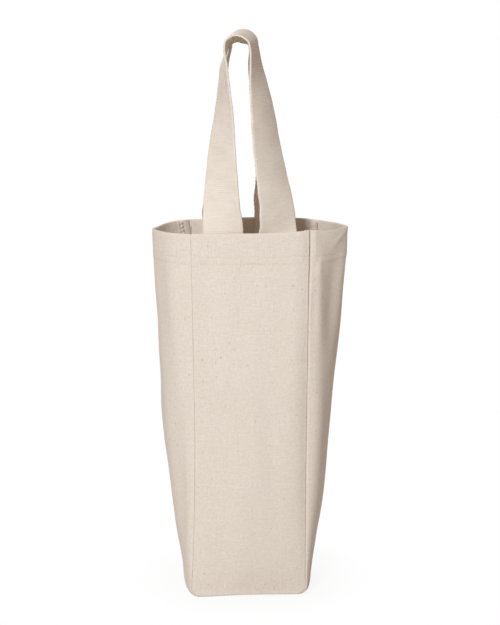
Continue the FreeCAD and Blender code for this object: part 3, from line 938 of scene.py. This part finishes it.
def selvedge(run, share, side):
    """Uneven edge of the webbing: small loops of weft, looser on the right leg's inner edge."""
    wave = 0.15 * math.sin(run * 3.6) + 0.12 * math.sin(run * 2.3 + side)
    wave += 0.08 * math.sin(run * 5.9 + 2 * side)
    looser = 1.2 * float(ramp(share, 0.56, 0.66)) if side > 0 else 0
    return wave * (0.6 + looser) * side


def strap_sheet(route, facing, tilt_deg, skew):
    """Surface of a strap with rounded edges, as rows of points round its section.

    Tilt and skew say how the strap's width points where it has turned by a right angle.
    """
    line, run = smooth_line(route, STRAP_STEP)
    middle, turn = line[:, :3], np.radians(line[:, 3])
    forward = np.gradient(middle, axis=0)
    forward /= np.linalg.norm(forward, axis=1)[:, None]
    lean = math.radians(tilt_deg)
    outward = np.array([skew, facing * math.cos(lean), -math.sin(lean)])
    wide = np.outer(np.cos(turn), [1, 0, 0]) + np.outer(np.sin(turn), outward)
    wide -= forward * np.sum(wide * forward, axis=1)[:, None]
    wide /= np.linalg.norm(wide, axis=1)[:, None]
    thick = np.cross(forward, wide)
    half = STRAP_WIDTH / 2
    edge = np.array(EDGE_PLACES)
    flat = np.concatenate([-edge[::-1], np.linspace(-FLAT_SHARE, FLAT_SHARE, FLAT_POINTS), edge])
    swelling = STRAP_THICK / 2 * np.array([*EDGE_SWELL[::-1], *[1.0] * FLAT_POINTS, *EDGE_SWELL])
    loop_w = np.concatenate([flat, flat[::-1]]) * half
    loop_t = np.concatenate([swelling, -swelling[::-1]])
    rows = []
    for i in range(len(middle)):
        ends = min(run[i], run[-1] - run[i])
        share = run[i] / run[-1]
        stray = np.where(loop_w > half * EDGE_SHARE, selvedge(run[i], share, 1), 0)
        stray = stray + np.where(loop_w < -half * EDGE_SHARE, selvedge(run[i], share, -1), 0)
        hollow = SWAY_CUP * math.sin(run[i] * 0.045) + facing * RIGHT_CUP * float(ramp(share, 0.58, 0.68))
        cup = hollow * (1 - (loop_w / half) ** 2) * float(ramp(ends, SEWN, SEWN + CUP_START))
        rows.append(middle[i] + np.outer(loop_w + stray, wide[i]) + np.outer(loop_t + cup, thick[i]))
    return np.array(rows), loop_w, run


def webbing_object(name, points, across, run):
    """A strap as a closed mesh, with its flat place as UVs."""
    rows, count = points.shape[:2]
    number, faces = tube_faces(rows, count)
    for row in (number[0], number[-1]):
        for k in range(count // 2 - 1):
            faces.append([int(row[k]), int(row[k + 1]), int(row[count - 2 - k]), int(row[count - 1 - k])])
    strap = mesh_piece(name, points.reshape(-1, 3), faces, np.tile(across, rows), np.repeat(run, count))
    outward_faces()
    return strap


def webbing_cloth():
    """Cotton webbing: cross ribs of thick weft, fine lengthwise ends and a slightly hairy face."""
    material = bpy.data.materials.new("cotton_webbing")
    n = Nodes(material)
    place = n.add("ShaderNodeUVMap", uv_map="cloth").outputs[0]
    yarn = n.wandering(place, 120.0, 0.0009)
    rib = n.ridges(yarn.outputs[1], 0.0017)
    end = n.ridges(yarn.outputs[0], 0.0011)
    slub = n.noise(n.stretched(place, 60, 800), 1.0, 3.0, 0.6)
    mottle = n.noise(place, 60.0, 3.0, 0.55)
    grain = n.total((slub, 0.4), (mottle, 0.6), (rib, 0.02))
    tone = n.tones(grain, 0.25, (0.75, 0.655, 0.555), 0.75, (0.885, 0.8, 0.715))
    n.feed(n.shader.inputs["Base Color"], tone)
    n.cloth_finish(n.total((rib, 0.25), (end, 0.1), (slub, 0.4)), 0.5, 0.12)
    return material


webbing = webbing_cloth()
# A leg's places are height over the rim, place across and turn in degrees; a foot's, place and turn.
FRONT_LEFT = (
    (19, -23.2, 18), (46, -23.4, 33), (72, -23.0, 43.5), (99, -21.8, 55), (125, -21.9, 66), (139, -22.0, 71.5)
)
FRONT_RIGHT = (
    (19, 23.4, 37.5), (46, 18.9, 48.5), (72, 14.4, 56.5), (99, 10.9, 64.5), (125, 7.1, 76.5), (139, 5.2, 84.5)
)
BACK_LEFT = (
    (19, -29.0, 34), (46, -28.2, 50), (72, -27.6, 60), (99, -26.2, 70), (122, -25.2, 80), (136, -23.2, 86)
)
BACK_RIGHT = (
    (19, 16.2, 24), (38, 15.5, 43), (66, 11.7, 53.5), (95, 8.1, 60), (122, 4.0, 72), (138, 1.2, 81)
)
FRONT_FEET = ((-21.7, 0), (24.5, 26))
BACK_FEET = ((-28.2, 0), (17.9, 0))
FRONT_ARCH = round_arch(middle=-8.5, height=166.2, radius=11.7, ease=4)
BACK_ARCH = round_arch(middle=-10.3, height=159.8, radius=9.6, ease=2)
FRONT_TILT_DEG, FRONT_SKEW = 6.0, -0.13
BACK_TILT_DEG, BACK_SKEW = 14.0, -0.08
HANDLES = (
    ("front", -1, FRONT_FEET, FRONT_LEFT, FRONT_RIGHT, FRONT_ARCH, FRONT_TILT_DEG, FRONT_SKEW),
    ("back", 1, BACK_FEET, BACK_LEFT, BACK_RIGHT, BACK_ARCH, BACK_TILT_DEG, BACK_SKEW),
)
straps = {}
for side_name, facing, feet, left_leg, right_leg, arch, tilt, skew in HANDLES:
    route = strap_route(facing, feet, left_leg, right_leg, arch)
    points, across, run = strap_sheet(route, facing, tilt, skew)
    points = settle(points, 0)
    strap = webbing_object(f"{side_name}_webbing", points, across, run)
    strap.data.materials.append(webbing)
    body = f"{side_name}_handle"
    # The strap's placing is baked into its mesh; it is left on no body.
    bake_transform(strap)
    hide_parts(body, f"{body}_left_end", f"{body}_right_end")
    straps[facing] = (points, [foot[0] for foot in feet])


# Stitching. One row of lockstitches in the same undyed thread holds the hem all round and passes
# through the strap ends, and a short upright row holds the inner edge of each strap end.
STITCH = 3.0  # from one stitch to the next
STITCH_HALF = 1.3
STITCH_RADIUS = 0.27
STITCH_RISE, STITCH_PULL = 0.12, 0.25  # its middle out of the cloth, its ends into it
ROW_EDGE = 1.5  # from a strap's edge to the stitches beside it
UPRIGHT_TOP, UPRIGHT_FOOT = 17.0, 26.5  # below the rim, of the short upright rows
SEWN_ROWS = 12  # rows of a strap's mesh that reach past the hem stitches


def lockstitch():
    """One stitch as it shows on the cloth: a short plump thread, pulled in at both ends."""
    bpy.ops.object.select_all(action="DESELECT")
    bpy.ops.mesh.primitive_uv_sphere_add(segments=6, ring_count=6, radius=1.0)
    points, faces = take_shape((STITCH_RADIUS, STITCH_RADIUS, STITCH_HALF))
    points[:, 1] += STITCH_RISE - STITCH_PULL * (points[:, 2] / STITCH_HALF) ** 2
    return points, faces


def stitch_frames(line, out, margin):
    """Frames of the stitches along a line on the cloth; out points away from the cloth."""
    ahead = np.gradient(line, axis=0)
    frames = []
    for place, run in zip(*along_line(line, (line, ahead), STITCH, margin)):
        run = unit(run)
        away = unit(np.cross(np.cross(run, out(place)), run))
        frames.append((place, (np.cross(away, run), away, run)))
    return frames


def from_middle(place):
    """Away from the middle of the bag."""
    return unit(place * np.array([1.0, 1.0, 0.0]))


def to_middle(place):
    """Towards the middle of the bag."""
    return -from_middle(place)


def straight_out(facing):
    """Straight towards the front, -1, or the back, 1."""
    return lambda place: np.array([0.0, facing, 0.0])


def off_hem_row(z):
    """How far a height is from the hem's row of stitches."""
    return abs(z - RIM + HEM_ROW)


frames = []
clear = ROLL_STEPS + 2
for half in (left_rows, right_rows):
    for folded, out in ((0, from_middle), (1, to_middle)):
        row = min((r for r in half if r[3] == folded), key=lambda r: off_hem_row(r[2]))
        frames += stitch_frames(settle(row[0])[clear:-clear], out, margin=2.0)
for facing, (_, points, levels) in panels.items():
    away, back = straight_out(facing), straight_out(-facing)
    strap_points, feet = straps[facing]
    half_count = strap_points.shape[1] // 2
    outer_rows = [i for i, level in enumerate(levels) if level[1] == 0]
    inner_rows = [i for i, level in enumerate(levels) if level[1] == 1]
    outer = min(outer_rows, key=lambda i: off_hem_row(levels[i][0]))
    inner = min(inner_rows, key=lambda i: off_hem_row(levels[i][0]))
    frames += stitch_frames(points[outer][clear:-clear], away, margin=1.0)
    for place, axes in stitch_frames(points[inner][clear:-clear], back, margin=1.0):
        if min(abs(place[0] - x) for x in feet) > STRAP_WIDTH / 2 + ROW_EDGE:
            frames.append((place, axes))
    for end in (slice(0, SEWN_ROWS), slice(-SEWN_ROWS, None)):
        near = strap_points[end]
        row = near[np.argmin(off_hem_row(near[:, 0, 2]))]
        faces = (row[2:half_count - 2], row[half_count + 2:-2])
        face = min(faces, key=lambda f: abs(f[:, 1].mean()))
        frames += stitch_frames(face, back, margin=1.0)
    upright = [i for i in outer_rows if RIM - UPRIGHT_FOOT < levels[i][0] < RIM - UPRIGHT_TOP]
    for x in (feet[0] + STRAP_WIDTH / 2 - ROW_EDGE, feet[1] - STRAP_WIDTH / 2 + ROW_EDGE):
        column = np.argmin(abs(points[outer][:, 0] - x))
        frames += stitch_frames(points[upright][:, column], away, margin=0.8)
stitching = copies("hem_stitches", lockstitch(), frames)
outward_faces()
stitching.data.materials.append(thread)
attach(stitching, "bag")


# Studio: a pale floor that runs out into white, a white backdrop with a little warm light from all
# round, a soft lamp above the camera, a little to the left, and another behind the bag.
WHITE = (1, 1, 1, 1)
FLOOR_SIZE = 80  # metres
FLOOR_COLOUR = (0.7, 0.69, 0.67, 1)
SKY_COLOUR = (1, 0.79, 0.63, 1)
SKY_STRENGTH = 0.28
SHADOW_NEAR, SHADOW_FAR = 0.05, 0.11  # metres from the middle between which the floor turns white
NEAR_WHITE = 0.9  # share of plain white in the floor nearer than that


def rays_that_show(n):
    """1 for rays that show a surface itself, 0 for those that gather light from it."""
    path = n.add("ShaderNodeLightPath")
    seen = n.math("MAXIMUM", path.outputs["Is Camera Ray"], path.outputs["Is Glossy Ray"])
    return n.math("MAXIMUM", seen, path.outputs["Is Transmission Ray"])


def white_over(n, kind, share, output):
    """Lays plain white over the main shader, by a share from 0 to 1."""
    white = n.add(kind)
    white.inputs["Color"].default_value = WHITE
    white.inputs["Strength"].default_value = 1.0
    mix = n.add("ShaderNodeMixShader", {0: share, 1: n.shader.outputs[0], 2: white.outputs[0]})
    n.feed(n.tree.nodes[output].inputs["Surface"], mix.outputs[0])


def floor_finish():
    """Matt white, lifted to plain white with distance as the camera sees it."""
    material = bpy.data.materials.new("pale_floor")
    n = Nodes(material)
    n.shader.inputs["Base Color"].default_value = FLOOR_COLOUR
    n.shader.inputs["Roughness"].default_value = 0.9
    n.shader.inputs["Specular IOR Level"].default_value = 0.1
    place = n.add("ShaderNodeTexCoord").outputs["Object"]
    away = n.add("ShaderNodeVectorMath", {0: place}, operation="LENGTH").outputs["Value"]
    lift = n.add("ShaderNodeMapRange", {"Value": away, 1: SHADOW_NEAR, 2: SHADOW_FAR, 3: NEAR_WHITE, 4: 1.0})
    share = n.math("MULTIPLY", rays_that_show(n), lift.outputs[0])
    white_over(n, "ShaderNodeEmission", share, "Material Output")
    return material


bpy.ops.object.select_all(action="DESELECT")
bpy.ops.mesh.primitive_plane_add(size=FLOOR_SIZE, location=(0, 0, 0))
floor = bpy.context.active_object
floor.name = "floor"
floor.data.materials.append(floor_finish())

world = bpy.data.worlds.new("studio")
bpy.context.scene.world = world
sky = Nodes(world, "Background")
sky.shader.inputs["Color"].default_value = SKY_COLOUR
sky.shader.inputs["Strength"].default_value = SKY_STRENGTH
white_over(sky, "ShaderNodeBackground", rays_that_show(sky), "World Output")


def soft_lamp(name, place, aim, size, power, colour):
    """A square studio lamp that looks at a point."""
    lamp = bpy.data.lights.new(name, "AREA")
    lamp.size = size
    lamp.energy = power
    lamp.color = colour
    obj = bpy.data.objects.new(name, lamp)
    bpy.context.scene.collection.objects.link(obj)
    obj.location = place
    away = [p - a for p, a in zip(place, aim)]
    flat = math.hypot(away[0], away[1])
    obj.rotation_euler = (math.atan2(flat, away[2]), 0, math.atan2(away[1], away[0]) + math.pi / 2)


BAG_MIDDLE = (0, 0, 0.25)
soft_lamp("key", (-0.76, -2.85, 2.4), BAG_MIDDLE, size=0.45, power=100, colour=(0.88, 0.945, 1))
soft_lamp("back", (-0.6, 2.7, 1.0), BAG_MIDDLE, size=0.8, power=48, colour=(0.97, 0.97, 0.95))

CAMERA_AWAY = 1.5  # metres, as its height and the step aside
CAMERA_HEIGHT = 0.544
CAMERA_ASIDE = -0.001
CAMERA_AZIMUTH = math.radians(3)
CAMERA_PITCH = math.radians(11.4)
SENSOR_HEIGHT = 36  # millimetres, as the lens
LENS = 100.7
camera = bpy.data.cameras.new("camera")
camera.sensor_fit = "VERTICAL"
camera.sensor_height = SENSOR_HEIGHT
camera.lens = LENS
camera.clip_end = 200
eye = bpy.data.objects.new("camera", camera)
bpy.context.scene.collection.objects.link(eye)
eye.location = (
    CAMERA_AWAY * math.sin(CAMERA_AZIMUTH) + CAMERA_ASIDE * math.cos(CAMERA_AZIMUTH),
    -CAMERA_AWAY * math.cos(CAMERA_AZIMUTH) + CAMERA_ASIDE * math.sin(CAMERA_AZIMUTH),
    CAMERA_HEIGHT,
)
eye.rotation_euler = (math.pi / 2 - CAMERA_PITCH, 0, CAMERA_AZIMUTH)
bpy.context.scene.camera = eye
bpy.context.scene.view_settings.view_transform = "Standard"
